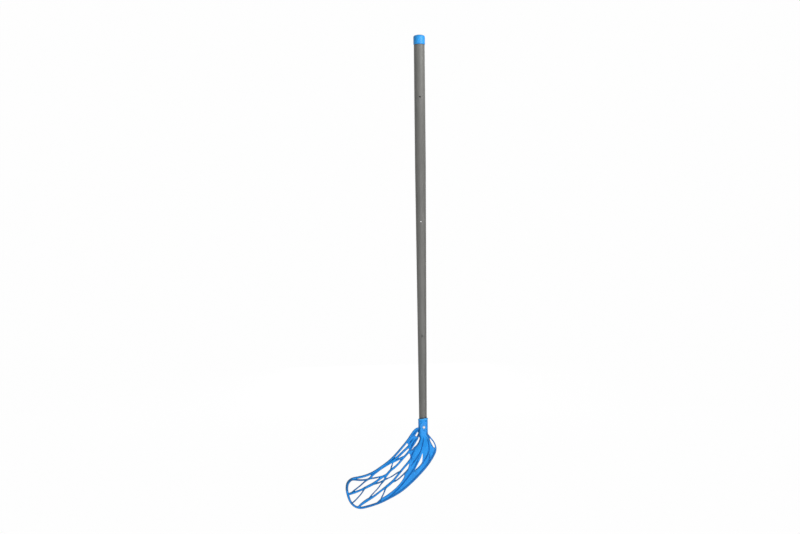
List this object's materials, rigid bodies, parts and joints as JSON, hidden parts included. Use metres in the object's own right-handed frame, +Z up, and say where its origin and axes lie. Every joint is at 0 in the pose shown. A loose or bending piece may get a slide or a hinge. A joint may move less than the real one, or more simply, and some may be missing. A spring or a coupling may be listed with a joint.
{
  "type": "floorball stick",
  "caption": "School floorball stick with a grey tapered tube shaft, a blue end cap and a blue moulded lattice blade held by a blind rivet.",
  "frame": {"origin": "centre of the flat top of the end cap, on the shaft's axis", "axes": "+Z up along the shaft towards the end cap, -X towards the blade's toe, -Y towards the front of the blade with the rivet head"},
  "size_m": [0.1933, 0.0246, 1.0007],
  "materials": {
    "shaft_plastic": "extruded grey plastic, satin, fine lengthwise drawing lines and light handling marks",
    "cap_plastic": "moulded blue plastic, soft gloss",
    "blade_plastic": "moulded blue polyethylene, soft gloss, scuffed along the sole and the toe",
    "rivet_metal": "bare aluminium, satin",
    "rivet_steel": "broken steel mandrel, dull"
  },
  "bodies": {
    "root": {"shaft": "shaft_plastic", "end_cap": "cap_plastic", "blade": "blade_plastic", "rivet_body": "rivet_metal", "rivet_mandrel": "rivet_steel"}
  },
  "joints": []
}
